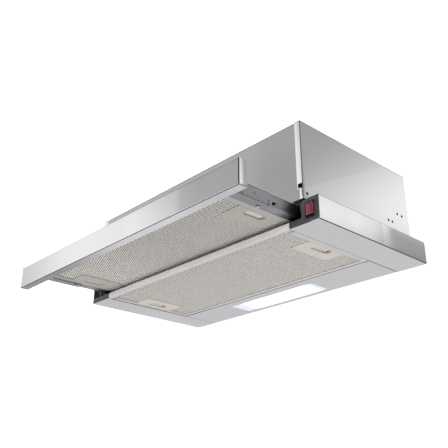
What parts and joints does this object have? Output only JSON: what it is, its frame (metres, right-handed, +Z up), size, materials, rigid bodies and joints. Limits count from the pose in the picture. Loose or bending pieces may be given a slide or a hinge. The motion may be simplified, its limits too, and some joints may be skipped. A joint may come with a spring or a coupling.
{
  "type": "pull out range hood",
  "caption": "Slim cooker hood with a pull out drawer, two grease filter cassettes on latches, an end rocker switch, an oblong lamp, a centrifugal blower and a top duct collar with flaps.",
  "frame": {"origin": "centre of the footprint of the hood with its drawer pulled out, on the plane of the underside", "axes": "+X to the right seen from the front, +Y to the back (wall), +Z up"},
  "size_m": [0.598, 0.446, 0.2033],
  "materials": {
    "steel": "satin brushed stainless steel",
    "galvanised": "plain galvanised steel",
    "filter_aluminium": "expanded aluminium, warm grey",
    "light_enamel": "pale enamel",
    "latch_plastic": "beige moulded plastic",
    "dark_plastic": "dark grey moulded plastic",
    "black_plastic": "black moulded plastic",
    "red_plastic": "translucent red plastic",
    "white_plastic": "white moulded plastic",
    "lamp_lens": "milky diffuser, lit",
    "board": "white circuit board with light chips"
  },
  "bodies": {
    "body": {"body_shell": "steel", "front_panel": "steel", "top_plate": "galvanised", "side_rail_right": "steel", "side_rail_left": "steel", "rear_panel": "steel", "front_crosspiece": "light_enamel", "end_cap_right": "dark_plastic", "end_cap_left": "dark_plastic", "front_guide_right": "black_plastic", "front_guide_left": "black_plastic", "switch_housing": "black_plastic", "lamp_lens": "lamp_lens", "lamp_housing": "white_plastic", "lamp_board": "board", "lamp_driver": "white_plastic", "rear_filter_frame": "filter_aluminium", "rear_filter_mesh": "filter_aluminium", "rear_latch_plate_right": "latch_plastic", "rear_latch_plate_left": "latch_plastic", "runner_right": "galvanised", "runner_left": "galvanised", "outlet_collar": "black_plastic", "damper_pin": "galvanised", "blower_half_right": "dark_plastic", "blower_half_left": "dark_plastic", "motor": "galvanised", "motor_bracket": "galvanised", "terminal_box": "white_plastic", "cable_gland": "black_plastic", "capacitor": "white_plastic"},
    "drawer": {"fascia": "steel", "drawer_side_right": "steel", "drawer_side_left": "steel", "drawer_bracket_right": "steel", "drawer_bracket_left": "steel", "drawer_screw_right": "galvanised", "drawer_screw_left": "galvanised", "drawer_rear_bar": "galvanised", "front_filter_frame": "filter_aluminium", "front_filter_mesh": "filter_aluminium", "front_latch_plate_right": "latch_plastic", "front_latch_plate_left": "latch_plastic", "glide_right": "white_plastic", "glide_left": "white_plastic"},
    "rocker": {"switch_rocker": "red_plastic"},
    "impeller": {"impeller": "white_plastic", "motor_shaft": "galvanised"},
    "damper_rear": {"damper_flap_rear": "black_plastic"},
    "damper_front": {"damper_flap_front": "black_plastic"},
    "rear_latch_right": {"rear_latch_slider_right": "latch_plastic"},
    "rear_latch_left": {"rear_latch_slider_left": "latch_plastic"},
    "front_latch_right": {"front_latch_slider_right": "latch_plastic"},
    "front_latch_left": {"front_latch_slider_left": "latch_plastic"}
  },
  "joints": [
    {"name": "drawer_slide", "type": "slide", "parent": "body", "child": "drawer", "axis": [0, 1, 0], "range_m": [0, 0.145]},
    {"name": "rocker_tilt", "type": "hinge", "parent": "body", "child": "rocker", "pos_m": [0.2832, -0.059, 0.02], "axis": [1, 0, 0], "range_deg": [-8, 8]},
    {"name": "impeller_spin", "type": "hinge", "parent": "body", "child": "impeller", "pos_m": [0, 0.04853, 0.105], "axis": [1, 0, 0], "continuous": true},
    {"name": "damper_rear_swing", "type": "hinge", "parent": "body", "child": "damper_rear", "pos_m": [0, 0.088, 0.1843], "axis": [1, 0, 0], "range_deg": [0, 72]},
    {"name": "damper_front_swing", "type": "hinge", "parent": "body", "child": "damper_front", "pos_m": [0, 0.088, 0.1843], "axis": [-1, 0, 0], "range_deg": [0, 72]},
    {"name": "rear_latch_right_slide", "type": "slide", "parent": "body", "child": "rear_latch_right", "axis": [-1, 0, 0], "range_m": [0, 0.004], "stiffness_N_per_m": 350, "springref_m": -0.002},
    {"name": "rear_latch_left_slide", "type": "slide", "parent": "body", "child": "rear_latch_left", "axis": [1, 0, 0], "range_m": [0, 0.004], "stiffness_N_per_m": 350, "springref_m": -0.002},
    {"name": "front_latch_right_slide", "type": "slide", "parent": "drawer", "child": "front_latch_right", "axis": [-1, 0, 0], "range_m": [0, 0.004], "stiffness_N_per_m": 350, "springref_m": -0.002},
    {"name": "front_latch_left_slide", "type": "slide", "parent": "drawer", "child": "front_latch_left", "axis": [1, 0, 0], "range_m": [0, 0.004], "stiffness_N_per_m": 350, "springref_m": -0.002}
  ]
}
